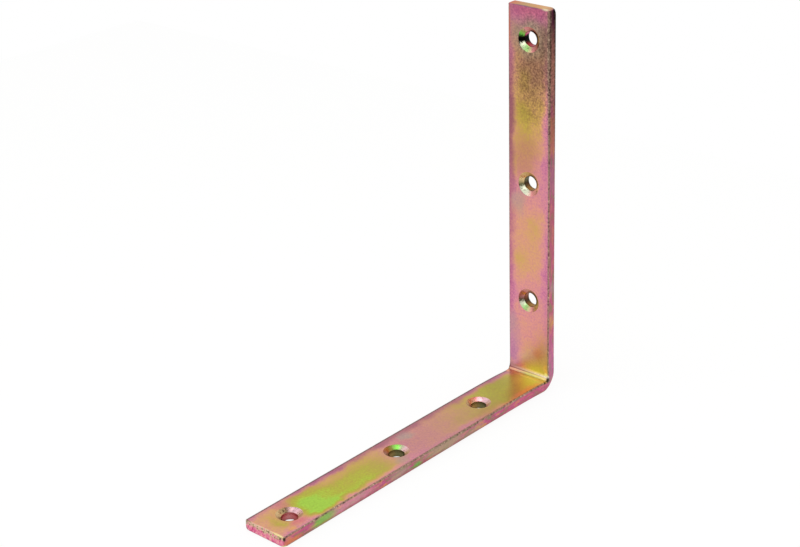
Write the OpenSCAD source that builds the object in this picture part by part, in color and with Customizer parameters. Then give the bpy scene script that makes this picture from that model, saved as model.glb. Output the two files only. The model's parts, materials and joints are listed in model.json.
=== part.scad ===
// Angle bracket for timber and shelving work, in millimetres.
// One length of flat steel bar, bent once to a right angle, with countersunk
// screw holes in both legs.
// The origin is the outside corner at mid-width, where the planes of the two
// backs meet. The base leg lies along +X, the upright leg stands along +Z.

/* [Legs] */
// Length of the base leg, from the outside corner to its end
base_len = 203; // [150:1:400]
// Length of the upright leg, from the outside corner to its end
upright_len = 203; // [150:1:400]

/* [Flat bar] */
// Width of the flat bar
bar_w = 25; // [20:0.5:60]
// Thickness of the flat bar
bar_t = 5; // [3.5:0.1:8]
// Width of the bevel that eases the bar's edges
edge_break = 0.5; // [0.1:0.05:0.8]

/* [Bend] */
// Radius round the outside of the bend
outer_r = 9; // [5:0.5:12]
// Radius inside the bend
inner_r = 1.2; // [0.6:0.1:6]

/* [Screw holes] */
// Diameter of each screw hole
hole_d = 7.5; // [4:0.1:10]
// How far each countersink opens out beyond its hole, all round
sink_rim = 2.75; // [1:0.05:4]
// Depth of each countersink
sink_depth = 1.4; // [1:0.1:3]
// From the outside corner to the middle of each leg's first hole
first_hole = 47.5; // [20:0.5:80]
// From the middle of the first hole to the middle of the second
hole_pitch = 64; // [20:0.5:70]
// From the middle of the last hole to the leg's end
end_gap = 16.5; // [8:0.5:25]

/* [Hidden] */
$fn = 96;
// How far a cutter runs past the metal that it cuts
past = 1;
half_w = bar_w / 2;

// Where a leg's holes lie, measured along it from the outside corner
function hole_places(leg_len) = [first_hole, first_hole + hole_pitch, leg_len - end_gap];

// What lies between two walls that meet at the origin and the circle that touches both
module corner_piece(r) {
    difference() {
        translate([-past, -past]) square(r + past);
        translate([r, r]) circle(r);
    }
}

// The whole bracket seen from the side, with the long edges of its two ends eased
module side_outline() {
    difference() {
        union() {
            polygon([
                [0, 0],
                [base_len - edge_break, 0],
                [base_len, edge_break],
                [base_len, bar_t - edge_break],
                [base_len - edge_break, bar_t],
                [bar_t, bar_t],
                [bar_t, upright_len - edge_break],
                [bar_t - edge_break, upright_len],
                [edge_break, upright_len],
                [0, upright_len - edge_break]
            ]);
            translate([bar_t, bar_t]) corner_piece(inner_r);
        }
        corner_piece(outer_r);
    }
}

// Section of a cutter that eases an edge at the origin, where the metal lies towards -X and -Y
module bevel_section() {
    polygon([
        [-edge_break, 0],
        [0, -edge_break],
        [past, -edge_break],
        [past, past],
        [-edge_break, past]
    ]);
}

// Section of the cutter that eases the edge inside the bend, measured from the middle of that curve
module inner_bevel_section() {
    polygon([
        [0, half_w - edge_break],
        [inner_r, half_w - edge_break],
        [inner_r + edge_break, half_w],
        [inner_r + edge_break, half_w + past],
        [0, half_w + past]
    ]);
}

// Turns a section through the quarter circle round the bend's own middle
module round_bend(r) {
    translate([r, 0, r]) rotate([-90, 0, 0]) rotate([0, 0, 90]) rotate_extrude(angle = 90) children();
}

// Cutter that eases a straight edge of a leg, from one place along X to another
module bevel_run(from, to) {
    translate([from, 0, 0]) rotate([90, 0, 90]) linear_extrude(to - from) children();
}

// One screw hole through a leg that lies on z = 0, with its countersink in the upper face
module screw_hole() {
    widen = sink_rim * (sink_depth + past) / sink_depth;
    translate([0, 0, -past]) cylinder(d = hole_d, h = bar_t + 2 * past);
    translate([0, 0, bar_t - sink_depth])
        cylinder(r1 = hole_d / 2, r2 = hole_d / 2 + widen, h = sink_depth + past);
}

// Everything that is cut from one side face of a leg that lies along X
module leg_side_cuts(leg_len) {
    bevel_run(outer_r, leg_len + past) translate([half_w, 0]) mirror([0, 1]) bevel_section();
    bevel_run(bar_t + inner_r, leg_len + past) translate([half_w, bar_t]) bevel_section();
    translate([leg_len, half_w, -past]) linear_extrude(bar_t + 2 * past) bevel_section();
}

// Everything that is cut from one side face of the bend
module bend_side_cuts() {
    round_bend(outer_r) translate([outer_r, half_w]) bevel_section();
    translate([bar_t, 0, bar_t]) round_bend(inner_r) inner_bevel_section();
}

// All that is cut from a leg that lies along X
module leg_cuts(leg_len) {
    for (x = hole_places(leg_len)) translate([x, 0, 0]) screw_hole();
    for (side = [0, 1]) mirror([0, side, 0]) leg_side_cuts(leg_len);
}

module bracket() {
    color("#c58f78") difference() {
        rotate([90, 0, 0]) linear_extrude(bar_w, center = true) side_outline();
        leg_cuts(base_len);
        mirror([1, 0, -1]) leg_cuts(upright_len);
        for (side = [0, 1]) mirror([0, side, 0]) bend_side_cuts();
    }
}

bracket();
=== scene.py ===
import bpy
import bmesh
import json
import math
from mathutils import Matrix, Vector, noise


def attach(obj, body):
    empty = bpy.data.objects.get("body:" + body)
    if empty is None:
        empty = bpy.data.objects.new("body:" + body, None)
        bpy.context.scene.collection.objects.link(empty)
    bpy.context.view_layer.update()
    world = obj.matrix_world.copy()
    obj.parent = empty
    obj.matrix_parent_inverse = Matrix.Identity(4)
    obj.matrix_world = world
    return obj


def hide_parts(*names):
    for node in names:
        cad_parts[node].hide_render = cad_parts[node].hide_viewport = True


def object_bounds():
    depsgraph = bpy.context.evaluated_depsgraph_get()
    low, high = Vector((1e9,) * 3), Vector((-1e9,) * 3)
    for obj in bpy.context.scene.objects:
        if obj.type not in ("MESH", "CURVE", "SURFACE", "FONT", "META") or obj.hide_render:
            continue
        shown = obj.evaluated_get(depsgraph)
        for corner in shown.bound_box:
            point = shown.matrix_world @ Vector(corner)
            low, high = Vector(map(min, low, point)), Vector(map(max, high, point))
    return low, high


# Heavy angle bracket of yellow-passivated flat steel, dressed for the studio
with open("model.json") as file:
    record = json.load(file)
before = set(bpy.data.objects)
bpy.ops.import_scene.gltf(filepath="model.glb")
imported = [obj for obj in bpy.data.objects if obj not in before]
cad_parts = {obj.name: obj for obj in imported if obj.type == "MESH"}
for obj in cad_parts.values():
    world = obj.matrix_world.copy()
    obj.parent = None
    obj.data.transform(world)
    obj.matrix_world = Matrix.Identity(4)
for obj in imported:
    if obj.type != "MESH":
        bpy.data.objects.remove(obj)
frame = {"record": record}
cadLow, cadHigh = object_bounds()
bpy.ops.object.select_all(action="DESELECT")
mm = 0.001
# how close two places have to be to count as one, two wider margins, and how squarely a face has to look
# along an axis
touching = 0.01 * mm
slack = 0.05 * mm
nearby = 0.1 * mm
squareOn = 0.9


# Small helpers
def linearColour(hexText, alpha=1.0):
    parts = [int(hexText[i:i + 2], 16) / 255 for i in (1, 3, 5)]
    return [c / 12.92 if c <= 0.04045 else ((c + 0.055) / 1.055) ** 2.4 for c in parts] + [alpha]


def editOnly(piece, kind="EDGE"):
    # only this piece is selected, and it opens in edit mode with nothing picked
    bpy.ops.object.select_all(action="DESELECT")
    piece.select_set(True)
    bpy.context.view_layer.objects.active = piece
    bpy.ops.object.mode_set(mode="EDIT")
    bpy.ops.mesh.select_mode(type=kind)
    bpy.ops.mesh.select_all(action="DESELECT")


def leaveEdit():
    bpy.ops.object.mode_set(mode="OBJECT")


def pickFaces(test):
    mesh = bpy.context.edit_object.data
    work = bmesh.from_edit_mesh(mesh)
    picked = 0
    for face in work.faces:
        wanted = bool(test(face))
        face.select_set(wanted)
        picked += wanted
    bmesh.update_edit_mesh(mesh)
    return picked


def pickEdges(test):
    mesh = bpy.context.edit_object.data
    work = bmesh.from_edit_mesh(mesh)
    picked = 0
    for edge in work.edges:
        wanted = bool(test(edge))
        edge.select_set(wanted)
        picked += wanted
    bmesh.update_edit_mesh(mesh)
    return picked


# Sizes that come from the frame
boreMounts = [m for m in frame["record"]["mounts"] if m["kind"] == "bore"]
baseHoles = sorted(m["pos_m"][0] for m in boreMounts if abs(m["axis"][2]) > 0.5)
uprightHoles = sorted(m["pos_m"][2] for m in boreMounts if abs(m["axis"][0]) > 0.5)

# Studio: camera at the photograph's angle, a pale table, a soft dome and three softboxes
view = {
    "azimuth": 131.38,
    "elevation": 23.376,
    "roll": -1.681,
    "lens": 85,
    "sensor": 36,
    "clipStart": 0.01,
    "place": (714.4 * mm, 536.9 * mm, 448.2 * mm),
}
studio = {
    "tableLow": (-350 * mm, -700 * mm),
    "tableHigh": (760 * mm, 420 * mm),
    "tableWhite": 0.88,
    "domeUp": 0.9,
    "domeDown": 0.06,
    "darkBelow": -0.12,
    "lightAbove": 0.02,
}
# name, place, what it faces, size, power
softboxes = (
    ("top_softbox", (0.15, 0.1, 1.25), (0.1, 0, 0.1), 0.9, 4),
    ("front_softbox", (1.05, 0.30, 0.62), (0.1, 0, 0.1), 0.45, 0.5),
    # this one is seen in the bend by way of both legs, and keeps the colours there light
    ("side_softbox", (0.85, -0.72, 0.48), (0, 0, 0), 0.6, 0.6),
)


def addNode(tree, kind, links=None, **settings):
    node = tree.nodes.new("ShaderNode" + kind)
    for name, value in settings.items():
        setattr(node, name, value)
    for socket, source in (links or {}).items():
        if isinstance(source, bpy.types.NodeSocket):
            tree.links.new(source, node.inputs[socket])
        else:
            node.inputs[socket].default_value = source
    return node


def emptyMaterial(name):
    material = bpy.data.materials.new(name)
    material.use_nodes = True
    material.node_tree.nodes.clear()
    return material


def makeCamera():
    turn = math.radians(view["azimuth"])
    rise = math.radians(view["elevation"])
    back = Vector((math.sin(turn) * math.cos(rise), -math.cos(turn) * math.cos(rise), math.sin(rise)))
    right = Vector((math.cos(turn), math.sin(turn), 0))
    camera = bpy.data.objects.new("camera", bpy.data.cameras.new("camera"))
    bpy.context.scene.collection.objects.link(camera)
    level = Matrix((right, back.cross(right), back)).transposed()
    camera.rotation_euler = (level @ Matrix.Rotation(math.radians(view["roll"]), 3, "Z")).to_euler()
    camera.location = view["place"]
    camera.data.lens = view["lens"]
    camera.data.sensor_width = view["sensor"]
    camera.data.clip_start = view["clipStart"]
    bpy.context.scene.camera = camera


def softbox(name, place, target, size, power):
    lamp = bpy.data.objects.new(name, bpy.data.lights.new(name, "AREA"))
    bpy.context.scene.collection.objects.link(lamp)
    lamp.data.shape = "SQUARE"
    lamp.data.size = size
    lamp.data.energy = power
    lamp.location = place
    lamp.rotation_euler = (Vector(target) - Vector(place)).to_track_quat("-Z", "Y").to_euler()
    lamp.visible_camera = False


def makeTable():
    low = studio["tableLow"]
    high = studio["tableHigh"]
    bpy.ops.mesh.primitive_plane_add(size=1, location=((low[0] + high[0]) / 2, (low[1] + high[1]) / 2, 0))
    table = bpy.context.object
    table.name = "table"
    table.scale = (high[0] - low[0], high[1] - low[1], 1)
    bpy.ops.object.transform_apply(location=True, rotation=True, scale=True)
    # white card: it shows pure white, and keeps a share of what light and shadow fall on it
    card = emptyMaterial("white_card")
    tree = card.node_tree
    path = addNode(tree, "LightPath")
    seen = addNode(tree, "Math", {0: path.outputs["Is Camera Ray"], 1: path.outputs["Is Glossy Ray"]},
                   operation="MAXIMUM")
    seen = addNode(tree, "Math", {0: seen.outputs[0], 1: path.outputs["Is Transmission Ray"]},
                   operation="MAXIMUM")
    share = addNode(tree, "Math", {0: seen.outputs[0], 1: studio["tableWhite"]}, operation="MULTIPLY")
    paper = addNode(tree, "BsdfDiffuse", {"Color": linearColour("#F4F4F2")})
    glow = addNode(tree, "Emission", {"Color": (1, 1, 1, 1), "Strength": 1.0})
    mixed = addNode(tree, "MixShader", {0: share.outputs[0], 1: paper.outputs[0], 2: glow.outputs[0]})
    addNode(tree, "OutputMaterial", {0: mixed.outputs[0]})
    table.data.materials.append(card)


def makeWorld():
    world = bpy.data.worlds.new("studio")
    bpy.context.scene.world = world
    world.use_nodes = True
    tree = world.node_tree
    tree.nodes.clear()
    direction = addNode(tree, "TexCoord")
    split = addNode(tree, "SeparateXYZ", {0: direction.outputs["Generated"]})
    # the room below the table's level is dark, which the satin metal shows at its lowest turns
    lift = addNode(tree, "MapRange", {
        "Value": split.outputs["Z"], "From Min": studio["darkBelow"], "From Max": studio["lightAbove"],
        "To Min": studio["domeDown"], "To Max": studio["domeUp"]})
    path = addNode(tree, "LightPath")
    strength = addNode(tree, "Mix", {
        "Factor": path.outputs["Is Camera Ray"], "A": lift.outputs[0], "B": 1.0}, data_type="FLOAT")
    back = addNode(tree, "Background", {"Color": (1, 1, 1, 1), "Strength": strength.outputs[0]})
    addNode(tree, "OutputWorld", {0: back.outputs[0]})


print("studio")
scene = bpy.context.scene
scene.view_settings.view_transform = "Standard"
makeCamera()
makeTable()
makeWorld()
for box in softboxes:
    softbox(*box)


# The steel: what a maker would change. The bar runs a little over its nominal size
bar = {
    "width": cadHigh.y - cadLow.y + 0.2 * mm,
    "thickness": 5.25 * mm,
    "outerRadius": 9 * mm,
    "innerRise": 2.4 * mm,
    "innerRun": 1.1 * mm,
    "innerFlat": 0.45,
    "leadTurn": math.radians(22.5),
    "edgeRadius": 0.5 * mm,
    "edgeSegments": 5,
    "sharpEdge": math.radians(60),
    "weld": 0.02 * mm,
    "cell": 1.04 * mm,
    "cellsAcross": 24,
    "rowsDeep": 5,
    "bendSteps": 24,
}
hole = {
    "boreRadius": boreMounts[0]["dims"]["r_mm"] * mm,
    "rimRadius": 6.5 * mm,
    "sinkDepth": 1.4 * mm,
    "patchCells": 18,
    "bridgeCuts": 4,
    "rimRound": 0.22 * mm,
    "throatRound": 0.3 * mm,
    "backRound": 0.15 * mm,
}
baseLength = cadHigh.x
uprightLength = cadHigh.z + 0.25 * mm


# One leg, flat along +X with its inner face up
def modelLeg(name, length, holePlaces):
    start = bar["outerRadius"]
    along = round((length - start) / bar["cell"])
    step = (length - start) / along
    bpy.ops.mesh.primitive_grid_add(
        x_subdivisions=along, y_subdivisions=bar["cellsAcross"], size=1,
        location=((start + length) / 2, 0, bar["thickness"]),
    )
    leg = bpy.context.object
    leg.name = name
    leg.scale = (length - start, bar["width"], 1)
    bpy.ops.object.transform_apply(location=True, rotation=True, scale=True)
    # the sheet gets its thickness, and the thickness its rows
    editOnly(leg)
    bpy.ops.mesh.select_all(action="SELECT")
    bpy.ops.mesh.extrude_region_move(TRANSFORM_OT_translate={"value": (0, 0, -bar["thickness"])})
    bpy.ops.mesh.select_all(action="SELECT")
    bpy.ops.mesh.normals_make_consistent(inside=False)
    pickEdges(lambda e: abs(e.verts[0].co.z - e.verts[1].co.z) > 1 * mm)
    bpy.ops.mesh.subdivide(number_cuts=bar["rowsDeep"] - 1)
    # the end towards the bend stays open
    pickFaces(lambda f: f.calc_center_median().x < start + nearby and abs(f.normal.x) > squareOn)
    bpy.ops.mesh.delete(type="FACE")
    for place in holePlaces:
        modelHole(place, start, step)
    leaveEdit()
    return leg


# A countersunk hole in the leg that is open in edit mode
def modelHole(place, start, step):
    top = bar["thickness"]
    half = hole["patchCells"] / 2
    firstLine = round((place - start) / step - half)
    middle = start + (firstLine + half) * step
    reachX = half * step
    reachY = half * bar["width"] / bar["cellsAcross"]

    def inPatch(face):
        c = face.calc_center_median()
        return abs(c.x - middle) < reachX and abs(c.y) < reachY and abs(face.normal.z) > squareOn

    pickFaces(inPatch)
    bpy.ops.mesh.delete(type="FACE")
    # the rim of the countersink, its cone and the bore below it
    bpy.ops.mesh.primitive_circle_add(
        vertices=4 * hole["patchCells"], radius=hole["rimRadius"], location=(place, 0, top))
    bpy.ops.mesh.extrude_edges_move(TRANSFORM_OT_translate={"value": (0, 0, -hole["sinkDepth"])})
    narrow = hole["boreRadius"] / hole["rimRadius"]
    bpy.ops.transform.resize(value=(narrow, narrow, 1), center_override=(place, 0, top))
    bpy.ops.mesh.extrude_edges_move(
        TRANSFORM_OT_translate={"value": (0, 0, hole["sinkDepth"] - bar["thickness"])})
    # its wall has to face the hole's own middle before it can be joined to the leg's faces
    axis = Vector((place, 0, 0))
    pickFaces(lambda f: (f.calc_center_median() - axis).xy.length < hole["rimRadius"])
    wall = next(f for f in bmesh.from_edit_mesh(bpy.context.edit_object.data).faces if f.select)
    if (wall.calc_center_median() - axis).xy.dot(wall.normal.xy) > 0:
        bpy.ops.mesh.flip_normals()
    # each patch edge is joined to the circle inside it
    for level in (top, 0):
        def onRing(edge):
            ends = [v.co for v in edge.verts]
            near = all(abs(c.x - middle) < reachX + nearby and abs(c.z - level) < touching for c in ends)
            return near and edge.is_boundary
        pickEdges(onRing)
        bpy.ops.mesh.bridge_edge_loops(number_cuts=hole["bridgeCuts"], interpolation="LINEAR")


# The corner, turned from the base leg's open end to the upright's
def modelBend(piece):
    radius = bar["outerRadius"]
    editOnly(piece)
    pickEdges(lambda e: e.is_boundary and all(abs(v.co.x - radius) < touching for v in e.verts))
    bpy.ops.mesh.spin(
        steps=bar["bendSteps"], angle=-math.pi / 2, center=(radius, 0, radius), axis=(0, 1, 0))
    bpy.ops.mesh.select_all(action="SELECT")
    bpy.ops.mesh.remove_doubles(threshold=bar["weld"])
    bpy.ops.mesh.normals_make_consistent(inside=False)
    leaveEdit()
    # spin leaves a wide inside radius, so each ring is drawn out to the sharp inside of a pressed bend
    for vertex in piece.data.vertices:
        fromCentre = Vector((radius - vertex.co.x, radius - vertex.co.z))
        if fromCentre.x < 0 or fromCentre.y < 0:
            continue
        turn = math.atan2(fromCentre.x, fromCentre.y)
        depth = (radius - fromCentre.length) / bar["thickness"]
        outside = Vector((radius - radius * math.sin(turn), radius - radius * math.cos(turn)))
        place = outside.lerp(insideOfBend(turn), depth)
        vertex.co.x = place.x
        vertex.co.z = place.y


# Where the inside of the bend lies at a turn: straight, round the pressed curve, straight
def insideOfBend(turn):
    lead = bar["leadTurn"]
    inner = bar["thickness"]
    foot = inner + bar["innerRun"]
    top = inner + bar["innerRise"]
    edge = bar["outerRadius"]
    if turn < lead:
        return Vector((edge + (foot - edge) * turn / lead, inner))
    if turn > math.pi / 2 - lead:
        return Vector((inner, edge + (top - edge) * (math.pi / 2 - turn) / lead))
    share = (turn - lead) / (math.pi / 2 - 2 * lead)
    angle = share * math.pi / 2
    rounded = Vector((foot - bar["innerRun"] * math.sin(angle), top - bar["innerRise"] * math.cos(angle)))
    # the press leaves the middle of the curve flatter, with a tighter turn on each side of it
    straight = Vector((foot, inner)).lerp(Vector((inner, top)), share)
    return rounded.lerp(straight, bar["innerFlat"])


# Rounded edges: the bar's own rolled edges, then the softer lips of the holes
def roundEdges(piece):
    half = bar["width"] / 2
    editOnly(piece)

    def isBarEdge(edge):
        a, b = (v.co for v in edge.verts)
        if len(edge.link_faces) != 2 or edge.calc_face_angle(0) < bar["sharpEdge"]:
            return False
        onSide = abs(abs(a.y) - half) < touching and abs(abs(b.y) - half) < touching
        onEnd = any(min(a[i], b[i]) > limit - slack for i, limit in ((0, baseLength), (2, uprightLength)))
        return onSide or onEnd

    print("bar edges", pickEdges(isBarEdge))
    bpy.ops.mesh.bevel(offset=bar["edgeRadius"], segments=bar["edgeSegments"], profile=0.5, affect="EDGES")

    def isRing(radius, level):
        def test(edge):
            for places, ends in (
                (baseHoles, [(v.co.x, v.co.y, v.co.z) for v in edge.verts]),
                (uprightHoles, [(v.co.z, v.co.y, v.co.x) for v in edge.verts]),
            ):
                for place in places:
                    if all(abs(math.hypot(c[0] - place, c[1]) - radius) < touching
                           and abs(c[2] - level) < touching for c in ends):
                        return True
            return False
        return test

    throat = bar["thickness"] - hole["sinkDepth"]
    # radius of each ring, its height, how wide its lip is rounded, and in how many steps
    rings = (
        (hole["rimRadius"], bar["thickness"], hole["rimRound"], 3),
        (hole["boreRadius"], throat, hole["throatRound"], 2),
        (hole["boreRadius"], 0, hole["backRound"], 3),
    )
    for radius, level, offset, segments in rings:
        print("hole edges", pickEdges(isRing(radius, level)))
        bpy.ops.mesh.bevel(offset=offset, segments=segments, profile=0.5, affect="EDGES")
    leaveEdit()


# What pressing and shearing did to the bar
press = {
    "baseKick": 0.8 * mm,
    "baseReach": 12 * mm,
    "uprightKick": 0.3 * mm,
    "uprightReach": 20 * mm,
    "bulge": 0.35 * mm,
    "bulgeReach": 3.2 * mm,
    "neck": 0.3 * mm,
    "neckReach": 4.5 * mm,
    "insideCorner": 5.6 * mm,
    "outsideCorner": 2.6 * mm,
    "farEdgeDrop": 0.15 * mm,
    "dropPlace": 10.5 * mm,
    "dropReach": 5 * mm,
    "baseLean": 0.5 * mm,
    "uprightLean": 0.12 * mm,
    "shearRough": 0.16 * mm,
    "shearGrain": 0.9 * mm,
    "shearBand": 0.9 * mm,
    "tornFrom": 1.9 * mm,
    "tornFade": 0.4 * mm,
    "tornHeight": 3.1 * mm,
    "skew": 0.5 * mm,
    "skewReach": 9 * mm,
    # corners that the shear rolled over: place, reach, and how far the metal moved there
    "rolled": (
        ((0, 12.5, 203), 2.2, (0.3, -0.4, -0.6)),
        ((203, -12.5, 0), 1.5, (-0.3, 0.25, 0.3)),
        ((203, 12.5, 0), 1.6, (-0.2, -0.2, 0.3)),
    ),
}


def legRise(along, kick, reach, span):
    s = max(0, along)
    return kick * (1 - math.exp(-s / reach)) - kick * s / span


def pressShape(piece):
    half = bar["width"] / 2
    radius = bar["outerRadius"]
    insideCorner = Vector((press["insideCorner"], press["insideCorner"]))
    outsideCorner = Vector((press["outsideCorner"], press["outsideCorner"]))
    for vertex in piece.data.vertices:
        co = vertex.co
        x, y, z = co
        flat = Vector((x, z))
        nearSide = abs(y / half) ** 6
        inward = (flat - insideCorner).length
        outward = (flat - outsideCorner).length
        side = math.copysign(1, y)
        co.y += side * nearSide * press["bulge"] * math.exp(-(inward / press["bulgeReach"]) ** 2)
        co.y -= side * nearSide * press["neck"] * math.exp(-(outward / press["neckReach"]) ** 2)
        # the base leg's far edge sinks a little next to the bend
        if x > 6 * mm and z > 1 * mm and z < 8 * mm:
            away = (x - press["dropPlace"]) / press["dropReach"]
            far = max(0, -y / half) ** 8
            co.z -= press["farEdgeDrop"] * far * math.exp(-away * away) * min(1, (z / mm - 1) / 4)
        # both legs spring back, so they rise slightly off the bend
        co.z += legRise(x - radius, press["baseKick"], press["baseReach"], baseLength - radius)
        co.x += legRise(z - radius, press["uprightKick"], press["uprightReach"], uprightLength - radius)
        # the base leg's end was cut slightly askew
        co.x += press["skew"] * y / half * max(0, 1 - (baseLength - x) / press["skewReach"])
        for corner, reach, moved in press["rolled"]:
            near = max(0, 1 - (co - Vector(corner) * mm).length / (reach * mm))
            co += Vector(moved) * mm * near
    # the shear's ragged upper band at each end
    for vertex in piece.data.vertices:
        co = vertex.co
        for along, depth, end in ((co.x, co.z, baseLength), (co.z, co.x, uprightLength)):
            if along < end - press["shearBand"] or depth > 6 * mm:
                continue
            torn = min(1, max(0, (depth - press["tornFrom"]) / press["tornFade"]))
            lean = press["baseLean" if end == baseLength else "uprightLean"]
            lean *= max(0, depth - press["tornFrom"]) / press["tornHeight"]
            grain = noise.noise(Vector((co.y, depth * 1.4, end)) / press["shearGrain"]) * press["shearRough"]
            shift = (lean + grain * torn) * min(1, (along - end + press["shearBand"]) / press["shearBand"])
            if end == baseLength and co.x > co.z:
                co.x -= shift
            elif end == uprightLength and co.z > co.x:
                co.z -= shift


print("legs and holes")
baseLeg = modelLeg("bracket_steel", baseLength, baseHoles)
uprightLeg = modelLeg("upright_steel", uprightLength, uprightHoles)
uprightLeg.rotation_mode = "AXIS_ANGLE"
uprightLeg.rotation_axis_angle = (math.pi, 1, 0, 1)
bpy.ops.object.select_all(action="DESELECT")
uprightLeg.select_set(True)
bpy.context.view_layer.objects.active = uprightLeg
bpy.ops.object.transform_apply(location=True, rotation=True, scale=True)
baseLeg.select_set(True)
bpy.context.view_layer.objects.active = baseLeg
bpy.ops.object.join()
bracket = bpy.context.object

print("bend")
modelBend(bracket)
print("rounded edges")
roundEdges(bracket)
print("pressed and sheared shape")
pressShape(bracket)
bpy.ops.object.shade_smooth_by_angle(angle=math.radians(34))


# Finishes
# what the passivated film shows, from its thinnest to its thickest
filmTints = (
    (0.00, "#8E9A8A"),
    (0.12, "#A07EA6"),
    (0.24, "#C46C9C"),
    (0.36, "#DA8AA0"),
    (0.46, "#E29A90"),
    (0.56, "#DEA678"),
    (0.66, "#CEAA5A"),
    (0.76, "#BEAE46"),
    (0.86, "#B8BC3C"),
    (0.92, "#B4C840"),
    (1.00, "#AAD246"),
)
# how thick the film lies along the middle of each leg: millimetres from the corner, thickness
filmAlong = {
    "upright": (
        (0, 0.62), (10, 0.64), (18, 0.56), (26, 0.47), (50, 0.42), (60, 0.47), (70, 0.53), (84, 0.52),
        (92, 0.51), (102, 0.43), (111, 0.40), (121, 0.50), (132, 0.58), (148, 0.64), (158, 0.60),
        (182, 0.55), (192, 0.42), (198, 0.30)),
    "base": (
        (0, 0.62), (12, 0.68), (24, 0.80), (38, 0.80), (47, 0.71), (58, 0.64), (70, 0.55), (84, 0.47),
        (104, 0.41), (112, 0.44), (119, 0.58), (128, 0.74), (140, 0.82), (154, 0.81), (161, 0.88),
        (170, 0.98), (177, 0.95), (185, 0.66), (203, 0.54)),
}
# spots where it lies thicker (towards green) or thinner (towards magenta) than that:
# leg, along it, across it, reach along, reach across, amount
filmClouds = (
    ("upright", 10, -8, 14, 6, -0.22),
    ("upright", 12, 9, 26, 5, 0.06),
    ("upright", 50, -11, 16, 4, -0.08),
    ("upright", 66, -5, 10, 5, 0.07),
    ("upright", 88, 2, 11, 6, 0.06),
    ("upright", 121, -9, 7, 3, 0.1),
    ("upright", 124, 7, 12, 5, -0.06),
    ("upright", 145, -3, 10, 6, 0.07),
    ("upright", 140, 11, 28, 4, -0.05),
    ("upright", 72, 11, 30, 4, -0.07),
    ("base", 14, -10, 9, 5, -0.06),
    ("base", 20, 6, 14, 6, -0.1),
    ("base", 36, 11, 24, 3, 0.1),
    ("base", 33, -11, 16, 4, -0.16),
    ("base", 66, 6, 16, 5, 0.06),
    ("base", 150, 9, 26, 5, 0.08),
    ("base", 156, -8, 34, 6, -0.18),
    ("base", 172, 10, 12, 4, 0.2),
    ("base", 173, 2, 7, 7, 0.06),
    ("base", 186, 7, 6, 4, -0.14),
    ("base", 195, 2, 4, 5, 0.12),
)
# smudges of another colour in the film, some of them painted reflection and painted shade:
# leg, along, across, reach along, reach across, tint, amount
filmSmudgesAndPaintedLight = (
    ("upright", 173, 4, 18, 14, "#8E6654", 0.75),
    ("upright", 188, 0, 11.5, 11.5, "#A4947C", 0.95),
    ("upright", 202, 0, 6, 14, "#D4708E", 0.7),
    ("upright", 165, -3, 8, 5, "#9C8438", 0.5),
    ("upright", 187, 10, 14, 4, "#826A56", 0.6),
    ("upright", 145, -12, 30, 3.4, "#7C5A44", 0.6),
    ("upright", 122, -12, 84, 3.6, "#A05C70", 0.55),
    ("upright", 125, -2, 14, 9, "#B0785C", 0.45),
    ("upright", 153, 0, 10, 9, "#9C7848", 0.4),
    ("upright", 101, -6, 7, 5, "#A8A090", 0.45),
    ("upright", 33, -11, 7, 3, "#A8A090", 0.35),
    # painted reflection: both legs mirror each other near the bend, so paler tints there stand in for that
    # reflection
    ("upright", 10, 3, 11, 9, "#E4BC9C", 0.9),
    ("upright", 14, 11, 14, 4, "#E0BC9C", 0.8),
    ("upright", 20, -10, 18, 5, "#BC88A0", 0.6),
    ("upright", 19, 6, 4, 4, "#E09070", 0.6),
    ("upright", 9.5, 11.6, 2.6, 1.4, "#FFC898", 0.8),
    # painted reflection of the upright in the base next to the bend
    ("base", 14, 4, 15, 11, "#DAD856", 0.9),
    ("base", 8, -10, 4, 4, "#F0B088", 0.8),
    ("base", 24, 12, 17, 3, "#ECB060", 0.9),
    ("base", 27, -5, 13, 6, "#A8983A", 0.6),
    # painted shade: the base is painted darker along its middle, and it is duller along its far edge
    ("base", 34, 4, 20, 8, "#AC9C30", 0.45),
    ("base", 52, 10, 14, 5, "#B88C48", 0.5),
    ("base", 84, 2, 44, 16, "#A87C70", 0.4),
    ("base", 90, -12, 120, 4.4, "#9C5C68", 0.66),
    ("base", 98, -6, 5, 4, "#A0A898", 0.45),
    ("base", 116, 8, 5, 4, "#A0A090", 0.4),
    ("base", 190, 1, 5, 9, "#E0A074", 0.45),
    ("base", 189, 8, 6, 3, "#DC7480", 0.7),
    ("base", 196, 11, 3, 2, "#E4AC54", 0.7),
    ("base", 184, -8, 5, 3, "#D07880", 0.6),
)
# what shows on the side faces, from dull to bright
sideTints = (
    (0.00, "#7E8064"),
    (0.22, "#987E62"),
    (0.38, "#B05A6C"),
    (0.55, "#BC5884"),
    (0.70, "#C46A84"),
    (0.85, "#C67870"),
    (1.00, "#D09058"),
)
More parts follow.
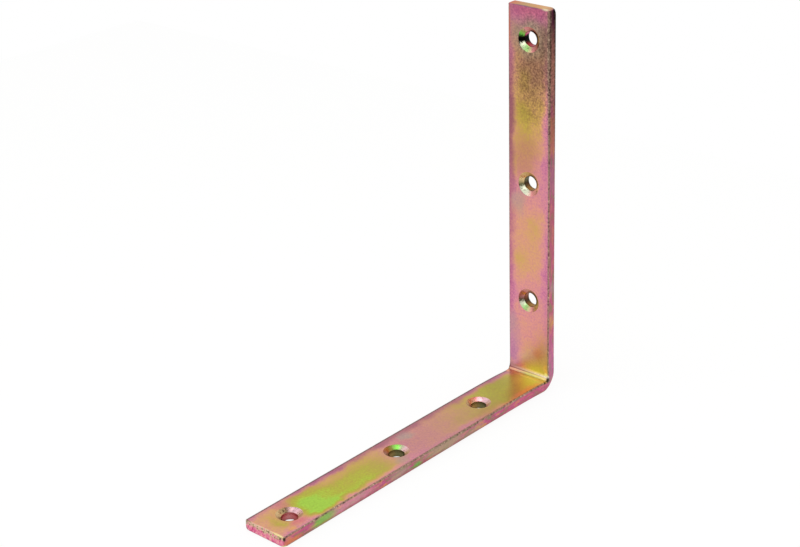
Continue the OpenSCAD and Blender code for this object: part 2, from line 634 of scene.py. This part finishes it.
# leg, along it, depth of the spot from the back, reach along, reach in depth, tint, amount
sideSmudges = (
    ("base", 24, 2.5, 20, 5, "#C4507C", 0.45),
    ("base", 90, 3, 18, 5, "#A89A78", 0.75),
    ("base", 66, 2, 8, 3, "#A89A78", 0.5),
    ("base", 124, 2, 8, 4, "#A49480", 0.7),
    ("base", 111, 1.5, 4, 2, "#58B040", 0.9),
    ("base", 158, 2.5, 18, 4, "#D89CA4", 0.6),
    ("base", 177, 2.5, 9, 4, "#70C048", 0.75),
    ("base", 190, 4, 7, 2, "#B84C84", 0.7),
    ("base", 198, 0.8, 7, 2.6, "#D88050", 0.85),
    ("base", 100, 0, 125, 1.8, "#94404C", 0.75),
    ("upright", 15, 2, 14, 5, "#C070A0", 0.5),
    ("upright", 38, 3, 5, 3, "#C89850", 0.5),
    ("upright", 57, 2, 4, 3, "#909088", 0.5),
    ("upright", 84, 2, 24, 6, "#B45C6C", 0.6),
    ("upright", 118, 2, 13, 6, "#AC7088", 0.6),
    ("upright", 140, 3, 12, 6, "#CC8060", 0.7),
    ("upright", 174, 3, 20, 6, "#E89C88", 0.9),
    ("upright", 188, 0.3, 10, 2.4, "#A8606C", 0.5),
    ("upright", 200, 0.3, 8, 4, "#341824", 0.85),
)
film = {
    "farEdge": 0.36,
    "nearEdge": 0.37,
    # all lengths here are in millimetres
    "middleReach": 7.0,
    "edgeReach": 13.0,
    "spotDepth": 5,
    "spotThrough": 9,
    "spotCore": 0.3,
    "spotFade": 1.3,
    "wander": 9,
    "wanderSize": 11,
    "blotch": 0.16,
    "blotchSize": 6,
    "grain": 0.28,
    "shade": 0.55,
    "dullShade": 3.2,
    "dullSpot": ("upright", 172, 4, 32, 16),
    "roughness": 0.34,
}


# half the nominal bar's width, in millimetres
halfBar = cadHigh.y / mm


def inMillimetres(tree):
    place = addNode(tree, "TexCoord")
    scaled = addNode(tree, "VectorMath", {0: place.outputs["Object"], "Scale": 1 / mm}, operation="SCALE")
    return scaled.outputs[0]


def fillRamp(node, stops):
    ramp = node.color_ramp
    ramp.elements.remove(ramp.elements[1])
    ramp.elements[0].position = stops[0][0]
    ramp.elements[0].color = stops[0][1]
    for position, colour in stops[1:]:
        ramp.elements.new(position).color = colour
    return node.outputs[0]


def tinted(stops):
    return [(position, linearColour(hexText)) for position, hexText in stops]


# a point or a reach on a leg, in the object's own axes
def onLeg(leg, along, across, depth):
    return (along, across, depth) if leg == "base" else (depth, across, along)


# a soft spot round a point: 1 in its middle, 0 outside it
def softSpot(tree, place, centre, size):
    # one multiply and add here, because a Mapping node for each spot makes the shader too large to render
    local = addNode(tree, "VectorMath", {
        0: place,
        1: [1 / s for s in size],
        2: [-c / s for c, s in zip(centre, size)]}, operation="MULTIPLY_ADD")
    reach = addNode(tree, "VectorMath", {0: local.outputs[0]}, operation="LENGTH")
    return addNode(tree, "MapRange", {
        "Value": reach.outputs["Value"], "From Min": film["spotCore"], "From Max": film["spotFade"],
        "To Min": 1.0, "To Max": 0.0}, interpolation_type="SMOOTHSTEP").outputs[0]


# the same on the inner face of a leg
def faceSpot(tree, place, leg, along, across, reach, spread):
    centre = onLeg(leg, along, across, film["spotDepth"])
    return softSpot(tree, place, centre, onLeg(leg, reach, spread, film["spotThrough"]))


def mixColour(tree, share, first, second):
    return addNode(tree, "Mix", {0: share, 6: first, 7: second}, data_type="RGBA").outputs[2]


def blendTint(tree, colour, mask, tint, amount):
    share = addNode(tree, "Math", {0: mask, 1: amount}, operation="MULTIPLY")
    return mixColour(tree, share.outputs[0], colour, linearColour(tint))


# the place, pushed about a little so that no spot has a clean outline
def wandering(tree, place, amount):
    wander = addNode(tree, "TexNoise", {
        "Vector": place, "Scale": 1 / film["wanderSize"], "Detail": 4.0, "Roughness": 0.6})
    centred = addNode(tree, "VectorMath", {
        0: wander.outputs["Color"], 1: (0.5, 0.5, 0.5)}, operation="SUBTRACT")
    return addNode(tree, "VectorMath", {
        0: centred.outputs[0], 1: (amount, amount, amount), 2: place}, operation="MULTIPLY_ADD").outputs[0]


# 1 on the base leg and 0 on the upright, with a short change between them at the corner
def onBase(tree, place):
    axes = addNode(tree, "SeparateXYZ", {0: place})
    ahead = addNode(tree, "Math", {0: axes.outputs["X"], 1: axes.outputs["Z"]}, operation="SUBTRACT")
    change = addNode(tree, "MapRange", {"Value": ahead.outputs[0], "From Min": -2.0, "From Max": 2.0})
    return change.outputs[0]


def filmThickness(tree, place, pushed, grain):
    axes = addNode(tree, "SeparateXYZ", {0: pushed})
    along = []
    for leg, axis, length in (("upright", "Z", uprightLength), ("base", "X", baseLength)):
        share = addNode(tree, "Math", {0: axes.outputs[axis], 1: mm / length}, operation="MULTIPLY")
        ramp = addNode(tree, "ValToRGB", {0: share.outputs[0]})
        fillRamp(ramp, [(u * mm / length, (v, v, v, v)) for u, v in filmAlong[leg]])
        # the ramp's alpha is a plain number, so no colour has to be turned into one
        along.append(ramp.outputs["Alpha"])
    middle = addNode(tree, "Mix", {
        "Factor": onBase(tree, place), "A": along[0], "B": along[1]}, data_type="FLOAT").outputs[0]
    # it thins towards both long edges
    edge = addNode(tree, "MapRange", {
        "Value": axes.outputs["Y"], "From Min": -12.0, "From Max": 12.0,
        "To Min": film["farEdge"], "To Max": film["nearEdge"]})
    off = addNode(tree, "Math", {0: axes.outputs["Y"]}, operation="ABSOLUTE")
    inside = addNode(tree, "MapRange", {
        "Value": off.outputs[0], "From Min": film["middleReach"], "From Max": film["edgeReach"],
        "To Min": 1.0, "To Max": 0.0}, interpolation_type="SMOOTHSTEP")
    total = addNode(tree, "Mix", {
        "Factor": inside.outputs[0], "A": edge.outputs[0], "B": middle}, data_type="FLOAT").outputs[0]
    for leg, u, v, reach, spread, amount in filmClouds:
        spot = faceSpot(tree, pushed, leg, u, v, reach, spread)
        total = addNode(tree, "Math", {0: spot, 1: amount, 2: total}, operation="MULTIPLY_ADD").outputs[0]
    blotch = addNode(tree, "TexNoise", {
        "Vector": place, "Scale": 1 / film["blotchSize"], "Detail": 4.0, "Roughness": 0.6})
    for source, amount in ((blotch.outputs["Fac"], film["blotch"]), (grain, film["grain"])):
        centred = addNode(tree, "Math", {0: source, 1: 0.5}, operation="SUBTRACT")
        total = addNode(tree, "Math", {
            0: centred.outputs[0], 1: amount, 2: total}, operation="MULTIPLY_ADD").outputs[0]
    return total


def faceColour(tree, place, grain):
    pushed = wandering(tree, place, film["wander"])
    ramp = addNode(tree, "ValToRGB", {0: filmThickness(tree, place, pushed, grain)})
    colour = fillRamp(ramp, tinted(filmTints))
    for leg, u, v, reach, spread, tint, amount in filmSmudgesAndPaintedLight:
        spot = faceSpot(tree, pushed, leg, u, v, reach, spread)
        colour = blendTint(tree, colour, spot, tint, amount)
    return colour


# the bar's side faces: a thinner film in streaks that run along the bar
side = {
    "streakAlong": 0.16,
    "streakAcross": 0.9,
    "streakScale": 0.9,
    "grain": 0.3,
    "drop": 0.15,
    "wander": 4,
    "spotWidth": 8,
}


def sideColour(tree, place, grain):
    streakAcross = addNode(tree, "Mix", {
        0: onBase(tree, place),
        4: (side["streakAcross"], 1, side["streakAlong"]),
        5: (side["streakAlong"], 1, side["streakAcross"])}, data_type="VECTOR")
    stretched = addNode(tree, "VectorMath", {0: place, 1: streakAcross.outputs[1]}, operation="MULTIPLY")
    streaks = addNode(tree, "TexNoise", {
        "Vector": stretched.outputs[0], "Scale": side["streakScale"], "Detail": 4.0})
    spread = addNode(tree, "MapRange", {
        "Value": streaks.outputs["Fac"], "From Min": 0.3, "From Max": 0.7, "To Min": -0.05, "To Max": 1.15})
    rough = addNode(tree, "Math", {
        0: grain, 1: side["grain"], 2: spread.outputs[0]}, operation="MULTIPLY_ADD")
    level = addNode(tree, "Math", {0: rough.outputs[0], 1: side["drop"]}, operation="SUBTRACT")
    colour = fillRamp(addNode(tree, "ValToRGB", {0: level.outputs[0]}), tinted(sideTints))
    pushed = wandering(tree, place, side["wander"])
    for leg, u, depth, reach, height, tint, amount in sideSmudges:
        centre = onLeg(leg, u, halfBar, depth)
        spot = softSpot(tree, pushed, centre, onLeg(leg, reach, side["spotWidth"], height))
        colour = blendTint(tree, colour, spot, tint, amount)
    return colour


# light and dark specks, strongest in the dull patch by the upright's last hole
def grainShade(tree, place, grain, colour):
    dull = faceSpot(tree, place, *film["dullSpot"])
    depth = addNode(tree, "MapRange", {
        "Value": dull, "To Min": film["shade"], "To Max": film["dullShade"]}).outputs[0]
    centred = addNode(tree, "Math", {0: grain, 1: 0.5}, operation="SUBTRACT").outputs[0]
    swing = addNode(tree, "Math", {0: centred, 1: depth, 2: 1.0}, operation="MULTIPLY_ADD").outputs[0]
    return addNode(tree, "VectorMath", {0: colour, "Scale": swing}, operation="SCALE").outputs[0]


# Yellow-passivated zinc on rolled flat bar: a satin metal with a thin film from magenta to gold and green
def yellowPassivatedZinc():
    material = emptyMaterial("yellow_passivated_zinc")
    tree = material.node_tree
    place = inMillimetres(tree)
    # the zinc's own grain is too fine to show from here, so it is drawn about a millimetre coarse
    grain = addNode(tree, "TexNoise", {
        "Vector": place, "Scale": 0.9, "Detail": 3.0, "Roughness": 0.7}).outputs["Fac"]
    facing = addNode(tree, "TexCoord")
    normal = addNode(tree, "SeparateXYZ", {0: facing.outputs["Normal"]})
    sideways = addNode(tree, "Math", {0: normal.outputs["Y"]}, operation="ABSOLUTE")
    onSide = addNode(tree, "MapRange", {
        "Value": sideways.outputs[0], "From Min": 0.5, "From Max": 0.9}, interpolation_type="SMOOTHSTEP")
    colour = mixColour(
        tree, onSide.outputs[0], faceColour(tree, place, grain), sideColour(tree, place, grain))
    # edge scale with painted shade on the base's far edge, then painted highlights and painted shade in the
    # bend and on the corners
    colour = edgeScaleAndShade(tree, place, grain, colour)
    colour = paintCornerLightAndShade(tree, place, bendPolishAndLight(tree, place, colour))
    colour = grainShade(tree, place, grain, colour)
    rough = addNode(tree, "MapRange", {
        "Value": grain, "From Min": 0.3, "From Max": 0.7,
        "To Min": film["roughness"] - 0.05, "To Max": film["roughness"] + 0.05})
    bump = addNode(tree, "Bump", {"Height": grain, "Strength": 0.25, "Distance": 0.05 * mm})
    shader = addNode(tree, "BsdfPrincipled", {
        "Base Color": colour, "Metallic": 1.0, "Roughness": rough.outputs[0], "Normal": bump.outputs[0]})
    addNode(tree, "OutputMaterial", {0: shader.outputs[0]})
    return material


# olive-brown scale along the bar's rolled edges, with dark and pale specks, and painted shade along the base
# leg's far edge
edges = {
    "width": 0.85,
    "farWidth": 0.6,
    "topWidth": 0.8,
    "scale": "#94806A",
    "speck": "#40322A",
    "pale": "#D8C0A0",
    "farEdgeShade": "#5E4640",
    "farShare": 0.75,
    "topFrom": 110.0,
    "topTo": 185.0,
    "ragged": 0.7,
    "raggedScale": 1.1,
    "amount": 0.8,
}


def edgeScaleAndShade(tree, place, grain, colour):
    axes = addNode(tree, "SeparateXYZ", {0: place})
    off = addNode(tree, "Math", {0: axes.outputs["Y"]}, operation="ABSOLUTE")
    across = addNode(tree, "Math", {0: bar["width"] / mm / 2, 1: off.outputs[0]}, operation="SUBTRACT")
    depth = addNode(tree, "Math", {0: axes.outputs["X"], 1: axes.outputs["Z"]}, operation="MINIMUM")
    under = addNode(tree, "Math", {0: bar["thickness"] / mm, 1: depth.outputs[0]}, operation="SUBTRACT")
    nearest = addNode(tree, "Math", {0: under.outputs[0], 1: depth.outputs[0]}, operation="MINIMUM")
    nearest = addNode(tree, "Math", {0: nearest.outputs[0]}, operation="ABSOLUTE")
    away = addNode(tree, "Math", {0: nearest.outputs[0], 1: across.outputs[0]}, operation="MAXIMUM")
    # painted shade: the base leg's far edge is darker, and its strip wider
    far = addNode(tree, "Math", {0: axes.outputs["Y"], 1: 0.0}, operation="LESS_THAN").outputs[0]
    farBase = addNode(tree, "Math", {0: far, 1: onBase(tree, place)}, operation="MULTIPLY").outputs[0]
    away = addNode(tree, "Math", {
        0: farBase, 1: -edges["farWidth"], 2: away.outputs[0]}, operation="MULTIPLY_ADD")
    # and the near edge's strip grows towards the top of the upright
    top = addNode(tree, "MapRange", {
        "Value": axes.outputs["Z"], "From Min": edges["topFrom"], "From Max": edges["topTo"],
        "To Max": edges["topWidth"]})
    near = addNode(tree, "Math", {0: 1.0, 1: far}, operation="SUBTRACT")
    top = addNode(tree, "Math", {0: top.outputs[0], 1: near.outputs[0]}, operation="MULTIPLY")
    away = addNode(tree, "Math", {0: away.outputs[0], 1: top.outputs[0]}, operation="SUBTRACT")
    ragged = addNode(tree, "TexNoise", {"Vector": place, "Scale": edges["raggedScale"], "Detail": 3.0})
    away = addNode(tree, "Math", {
        0: ragged.outputs["Fac"], 1: edges["ragged"], 2: away.outputs[0]}, operation="MULTIPLY_ADD")
    mask = addNode(tree, "MapRange", {
        "Value": away.outputs[0], "From Min": edges["width"] - 0.1, "From Max": edges["width"] + 0.3,
        "To Min": edges["amount"], "To Max": 0.0}, interpolation_type="SMOOTHSTEP")
    specks = fillRamp(addNode(tree, "ValToRGB", {0: grain}), tinted((
        (0.36, edges["speck"]), (0.46, edges["scale"]), (0.58, edges["scale"]), (0.68, edges["pale"]))))
    specks = blendTint(tree, specks, farBase, edges["farEdgeShade"], edges["farShare"])
    return mixColour(tree, mask.outputs[0], colour, specks)


# where the press polished the inside of the bend: a dull line with pale ones on both sides of it. The pale
# lines are painted highlights too, and the dull line a painted dark reflection. Each has its place up the
# curve (height less distance from the corner, in millimetres), how far it leans down towards the near edge,
# half its width, an amount, and its tints at the far edge, the middle and the near edge
bendLightAndShadeLines = (
    (-2.9, 0.0, 1.7, 0.9, ("#F0A488", "#FFF080", "#E8C060")),
    (0.95, 0.0, 0.6, 0.8, ("#84504C", "#906854", "#D0A898")),
    (2.15, 0.03, 1.4, 0.95, ("#B88080", "#F8DCB0", "#FFF0E0")),
    (-0.4, 0.0, 0.8, 0.85, ("#D8A080", "#B8B870", "#F0D090")),
)
# where those three tints lie across the bar, as shares of its width
bendLineStops = (0.1, 0.5, 0.95)


# 0 at the bar's far edge, 1 at its near edge
def acrossBar(tree, axes):
    return addNode(tree, "MapRange", {
        "Value": axes.outputs["Y"], "From Min": -halfBar, "From Max": halfBar}).outputs[0]


def bendPolishAndLight(tree, place, colour):
    axes = addNode(tree, "SeparateXYZ", {0: place})
    across = acrossBar(tree, axes)
    climb = addNode(tree, "Math", {0: axes.outputs["Z"], 1: axes.outputs["X"]}, operation="SUBTRACT")
    # only the inner face, and only next to the bend
    deep = addNode(tree, "Math", {0: axes.outputs["X"], 1: axes.outputs["Z"]}, operation="MINIMUM")
    inside = addNode(tree, "MapRange", {"Value": deep.outputs[0], "From Min": 4.2, "From Max": 4.8})
    for height, lean, reach, amount, tints in bendLightAndShadeLines:
        off = addNode(tree, "Math", {0: climb.outputs[0], 1: height}, operation="SUBTRACT")
        off = addNode(tree, "Math", {
            0: axes.outputs["Y"], 1: lean, 2: off.outputs[0]}, operation="MULTIPLY_ADD")
        off = addNode(tree, "Math", {0: off.outputs[0]}, operation="ABSOLUTE")
        line = addNode(tree, "MapRange", {
            "Value": off.outputs[0], "From Min": reach * 0.3, "From Max": reach,
            "To Min": amount, "To Max": 0.0}, interpolation_type="SMOOTHSTEP")
        share = addNode(tree, "Math", {0: line.outputs[0], 1: inside.outputs[0]}, operation="MULTIPLY")
        stops = tinted(zip(bendLineStops, tints))
        tint = fillRamp(addNode(tree, "ValToRGB", {0: across}), stops)
        colour = mixColour(tree, share.outputs[0], colour, tint)
    return colour


# small spots on corners and edges, most of them painted highlights and painted dark reflections; in
# millimetres:
# centre, reach, tint, amount
cornerLightAndShade = (
    ((5.4, 11.2, 8.0), (1.2, 1.3, 1.1), "#FFFCF0", 0.95),
    ((5.6, 12.7, 5.6), (1.7, 1.2, 1.9), "#20140E", 0.95),
    ((8.2, 12.7, 5.0), (1.0, 0.9, 0.9), "#20140E", 0.95),
    ((5.2, -12.8, 6.8), (1.6, 0.9, 1.8), "#4C1C18", 0.85),
    ((203.0, 8.6, 5.0), (1.0, 4.4, 0.6), "#F2E0A0", 0.95),
    ((202.9, -2.0, 5.0), (0.8, 9.0, 0.45), "#E8C8A8", 0.7),
    ((203.0, 12.4, 4.2), (1.1, 0.8, 1.3), "#181008", 0.95),
    ((203.0, -12.2, 4.4), (1.4, 1.6, 1.4), "#8C886C", 0.8),
    ((203.0, -12.4, 0.8), (1.4, 1.4, 1.2), "#584038", 0.8),
    ((203.0, 12.3, 0.3), (1.4, 1.3, 1.1), "#D8CC84", 0.85),
    ((5.0, -12.6, 192.0), (1.4, 1.3, 15.0), "#DC8258", 0.85),
    ((0.6, 12.5, 202.6), (2.4, 1.3, 2.0), "#262024", 0.95),
    ((5.0, 9.8, 202.9), (0.9, 2.2, 0.7), "#E8DCB8", 0.9),
    ((5.2, -2.0, 203.0), (0.5, 12.0, 0.4), "#6C6878", 0.7),
)


def paintCornerLightAndShade(tree, place, colour):
    for centre, reach, tint, amount in cornerLightAndShade:
        colour = blendTint(tree, colour, softSpot(tree, place, centre, reach), tint, amount)
    return colour


# the tints that cut cones and bores show
sinkTints = {
    "gold": "#B48444",
    "brown": "#A45838",
    "olive": "#706C48",
    "umber": "#54402E",
    "black": "#14100C",
    "pink": "#CC8484",
    "red": "#B84444",
    "magenta": "#E46490",
    "peach": "#F0AC84",
    "rose": "#F8C8D0",
    "sand": "#E0C08C",
    "pale": "#E4E8CC",
    "lime": "#A8DC84",
    "green": "#70B848",
    "moss": "#688440",
}
# where they lie round each hole, in degrees from +Y towards the leg's far end on the upright, and towards
# the corner on the base, as seen from the open side. The black sectors are painted dark reflection and
# painted shade, and the pale and rose ones are painted highlights
sinks = {
    ("upright", 2): {
        "cone": (
            (20, "gold"), (50, "brown"), (115, "pink"), (155, "green"), (172, "black"), (200, "black"),
            (210, "pale"), (250, "lime"), (290, "pink"), (340, "brown")),
        "bore": ((110, "magenta"), (150, "magenta"), (170, "black"), (210, "black"), (240, "red"))},
    ("upright", 1): {
        "cone": (
            (30, "peach"), (85, "gold"), (160, "sand"), (195, "olive"), (215, "pale"), (250, "pale"),
            (285, "pink")),
        "bore": ((120, "umber"), (165, "olive"), (200, "umber"), (250, "gold"))},
    ("upright", 0): {
        "cone": (
            (0, "gold"), (150, "pink"), (190, "umber"), (210, "pale"), (240, "lime"), (285, "pink"),
            (320, "gold")),
        "bore": ((0, "gold"), (150, "brown"), (210, "umber"), (260, "gold"))},
    ("base", 0): {
        "cone": ((30, "gold"), (85, "rose"), (145, "pink"), (190, "sand"), (230, "gold"), (320, "umber")),
        "bore": ((110, "olive"), (190, "gold"))},
    ("base", 1): {
        "cone": ((30, "gold"), (80, "rose"), (120, "green"), (150, "moss"), (190, "gold"), (220, "brown")),
        "bore": ((130, "olive"), (220, "gold"))},
    ("base", 2): {
        "cone": ((0, "peach"), (35, "gold"), (90, "rose"), (150, "umber"), (205, "sand"), (250, "gold")),
        "bore": ((60, "red"), (140, "pink"), (210, "red"))},
}
# how far a hole's tints reach from its middle, in millimetres, and how much grain roughens their borders
sinkReach = 20.0
sinkRagged = 0.1
cone = {
    "roughness": 0.24,
    # dark specks
    "speckFrom": 0.4,
    "speckTo": 0.34,
    "speckShade": 0.45,
}
bore = {
    "roughness": 0.45,
    # painted shade: it darkens towards the back, by this depth from it in millimetres
    "darkest": 0.55,
    "darkFrom": 0.3,
    "darkTo": 2.2,
}


def roundHole(tree, place, leg, index):
    centre = onLeg(leg, (baseHoles if leg == "base" else uprightHoles)[index] / mm, 0, 5)
    local = addNode(tree, "VectorMath", {0: place, 1: centre}, operation="SUBTRACT")
    axes = addNode(tree, "SeparateXYZ", {0: local.outputs[0]})
    axis, way = ("X", -1.0) if leg == "base" else ("Z", 1.0)
    outward = addNode(tree, "Math", {0: axes.outputs[axis], 1: way}, operation="MULTIPLY")
    angle = addNode(tree, "Math", {0: outward.outputs[0], 1: axes.outputs["Y"]}, operation="ARCTAN2")
    turn = addNode(tree, "Math", {0: angle.outputs[0], 1: 0.5 / math.pi}, operation="MULTIPLY")
    reach = addNode(tree, "VectorMath", {0: local.outputs[0]}, operation="LENGTH")
    here = addNode(tree, "Math", {0: reach.outputs["Value"], 1: sinkReach}, operation="LESS_THAN")
    return addNode(tree, "Math", {0: turn.outputs[0]}, operation="FRACT").outputs[0], here.outputs[0]


def sinkColour(tree, place, grain, part):
    colour = linearColour(sinkTints["gold"])
    centred = addNode(tree, "Math", {0: grain, 1: 0.5}, operation="SUBTRACT").outputs[0]
    for (leg, index), tints in sinks.items():
        turn, here = roundHole(tree, place, leg, index)
        turn = addNode(tree, "Math", {0: centred, 1: sinkRagged, 2: turn}, operation="MULTIPLY_ADD")
        stops = [(angle / 360, linearColour(sinkTints[tint])) for angle, tint in tints[part]]
        stops.append((1.0, stops[0][1]))
        ramp = fillRamp(addNode(tree, "ValToRGB", {0: turn.outputs[0]}), stops)
        colour = mixColour(tree, here, colour, ramp)
    return colour


# Freshly cut cone under the same film: smoother, so it mirrors the softboxes, with its tints in sectors, some
# of them painted highlights and painted dark reflections
def cutConeZinc():
    material = emptyMaterial("cut_cone_zinc")
    tree = material.node_tree
    place = inMillimetres(tree)
    grain = addNode(tree, "TexNoise", {"Vector": place, "Scale": 1.4, "Detail": 2.0}).outputs["Fac"]
    bump = addNode(tree, "Bump", {"Height": grain, "Strength": 0.08, "Distance": 0.05 * mm})
    speck = addNode(tree, "MapRange", {
        "Value": grain, "From Min": cone["speckFrom"], "From Max": cone["speckTo"],
        "To Min": 1.0, "To Max": cone["speckShade"]})
    colour = addNode(tree, "VectorMath", {
        0: sinkColour(tree, place, grain, "cone"), "Scale": speck.outputs[0]}, operation="SCALE")
    shader = addNode(tree, "BsdfPrincipled", {
        "Base Color": colour.outputs[0], "Metallic": 1.0, "Roughness": cone["roughness"],
        "Normal": bump.outputs[0]})
    addNode(tree, "OutputMaterial", {0: shader.outputs[0]})
    return material


# Drilled wall: dark olive-brown and dull, painted shade for the inside of the hole
def boreTintsAndShade():
    material = emptyMaterial("bore_tints_and_shade")
    tree = material.node_tree
    place = inMillimetres(tree)
    grain = addNode(tree, "TexNoise", {"Vector": place, "Scale": 0.9, "Detail": 3.0}).outputs["Fac"]
    # painted shade: it darkens towards the back of the hole
    axes = addNode(tree, "SeparateXYZ", {0: place})
    depth = addNode(tree, "Math", {0: axes.outputs["X"], 1: axes.outputs["Z"]}, operation="MINIMUM")
    dim = addNode(tree, "MapRange", {
        "Value": depth.outputs[0], "From Min": bore["darkFrom"], "From Max": bore["darkTo"],
        "To Min": bore["darkest"]})
    colour = addNode(tree, "VectorMath", {
        0: sinkColour(tree, place, grain, "bore"), "Scale": dim.outputs[0]}, operation="SCALE")
    shader = addNode(tree, "BsdfPrincipled", {
        "Base Color": colour.outputs[0], "Metallic": 1.0, "Roughness": bore["roughness"]})
    addNode(tree, "OutputMaterial", {0: shader.outputs[0]})
    return material


# Sheared ends: a burnished pink band below, a torn beige band above, and the film's golds on the top end
sheared = {
    "roughness": 0.42,
    # heights on the base leg's end, in millimetres
    "tornFrom": 4.3,
    "tornTo": 5.1,
    "patchRise": 3.6,
    "patchScale": 0.45,
    "footFrom": 0.1,
    "footTo": 0.7,
    "foot": "#80304C",
    "footShare": 0.8,
}


def shearedZinc():
    material = emptyMaterial("sheared_zinc")
    tree = material.node_tree
    place = inMillimetres(tree)
    axes = addNode(tree, "SeparateXYZ", {0: place})
    grain = addNode(tree, "TexNoise", {
        "Vector": place, "Scale": 0.85, "Detail": 3.0, "Roughness": 0.7}).outputs["Fac"]
    torn = fillRamp(addNode(tree, "ValToRGB", {0: grain}), tinted((
        (0.38, "#6E6450"), (0.45, "#C0A078"), (0.51, "#ECD4B0"), (0.56, "#DCA8A0"), (0.62, "#E870A0"))))
    smooth = fillRamp(addNode(tree, "ValToRGB", {0: grain}), tinted((
        (0.36, "#C04878"), (0.46, "#E06C94"), (0.56, "#EC90A8"), (0.66, "#F0B8A0"))))
    patches = addNode(tree, "TexNoise", {"Vector": place, "Scale": sheared["patchScale"], "Detail": 3.0})
    height = addNode(tree, "Math", {
        0: patches.outputs["Fac"], 1: sheared["patchRise"], 2: axes.outputs["Z"]}, operation="MULTIPLY_ADD")
    upper = addNode(tree, "MapRange", {
        "Value": height.outputs[0], "From Min": sheared["tornFrom"], "From Max": sheared["tornTo"]})
    baseEnd = mixColour(tree, upper.outputs[0], smooth, torn)
    across = acrossBar(tree, axes)
    topEnd = fillRamp(addNode(tree, "ValToRGB", {0: across}), tinted((
        (0.0, "#D06850"), (0.14, "#D08A5C"), (0.35, "#C49C64"), (0.6, "#D69E60"), (0.85, "#DCAC74"),
        (1.0, "#C08860"))))
    colour = mixColour(tree, onBase(tree, place), topEnd, baseEnd)
    foot = addNode(tree, "MapRange", {
        "Value": axes.outputs["Z"], "From Min": sheared["footFrom"], "From Max": sheared["footTo"],
        "To Min": sheared["footShare"], "To Max": 0.0})
    # the corners carry painted highlights and painted dark reflections here too
    colour = paintCornerLightAndShade(tree, place, blendTint(tree, colour, foot.outputs[0], sheared["foot"], 1.0))
    bump = addNode(tree, "Bump", {"Height": grain, "Strength": 0.6, "Distance": 0.1 * mm})
    shader = addNode(tree, "BsdfPrincipled", {
        "Base Color": colour, "Metallic": 1.0, "Roughness": sheared["roughness"], "Normal": bump.outputs[0]})
    addNode(tree, "OutputMaterial", {0: shader.outputs[0]})
    return material


# how far a face may look out of its leg and still be a bore's wall or a cone, and how far an end has to look
# along its leg
boreSlope = 0.5
coneSlope = 0.97
endSlope = 0.75


# which finish a face carries: 1 in a cone, 2 in a bore, 3 on a sheared end, else 0
def finishOf(face):
    centre = face.center
    normal = face.normal
    for places, along, depth, slope in (
        (baseHoles, centre.x, centre.z, abs(normal.z)), (uprightHoles, centre.z, centre.x, abs(normal.x))):
        if depth > bar["thickness"] + 1 * mm:
            continue
        for place in places:
            reach = math.hypot(along - place, centre.y)
            if reach < hole["boreRadius"] + slack and slope < boreSlope:
                return 2
            if reach < hole["rimRadius"] + slack and slope < coneSlope:
                return 1
    if centre.x > baseLength - 2 * mm and normal.x > endSlope:
        return 3
    if centre.z > uprightLength - 2 * mm and normal.z > endSlope:
        return 3
    return 0


print("finishes")
bracket.data.materials.clear()
for finish in (yellowPassivatedZinc, cutConeZinc, boreTintsAndShade, shearedZinc):
    bracket.data.materials.append(finish())
for face in bracket.data.polygons:
    face.material_index = finishOf(face)

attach(bracket, "root")
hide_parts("bracket")
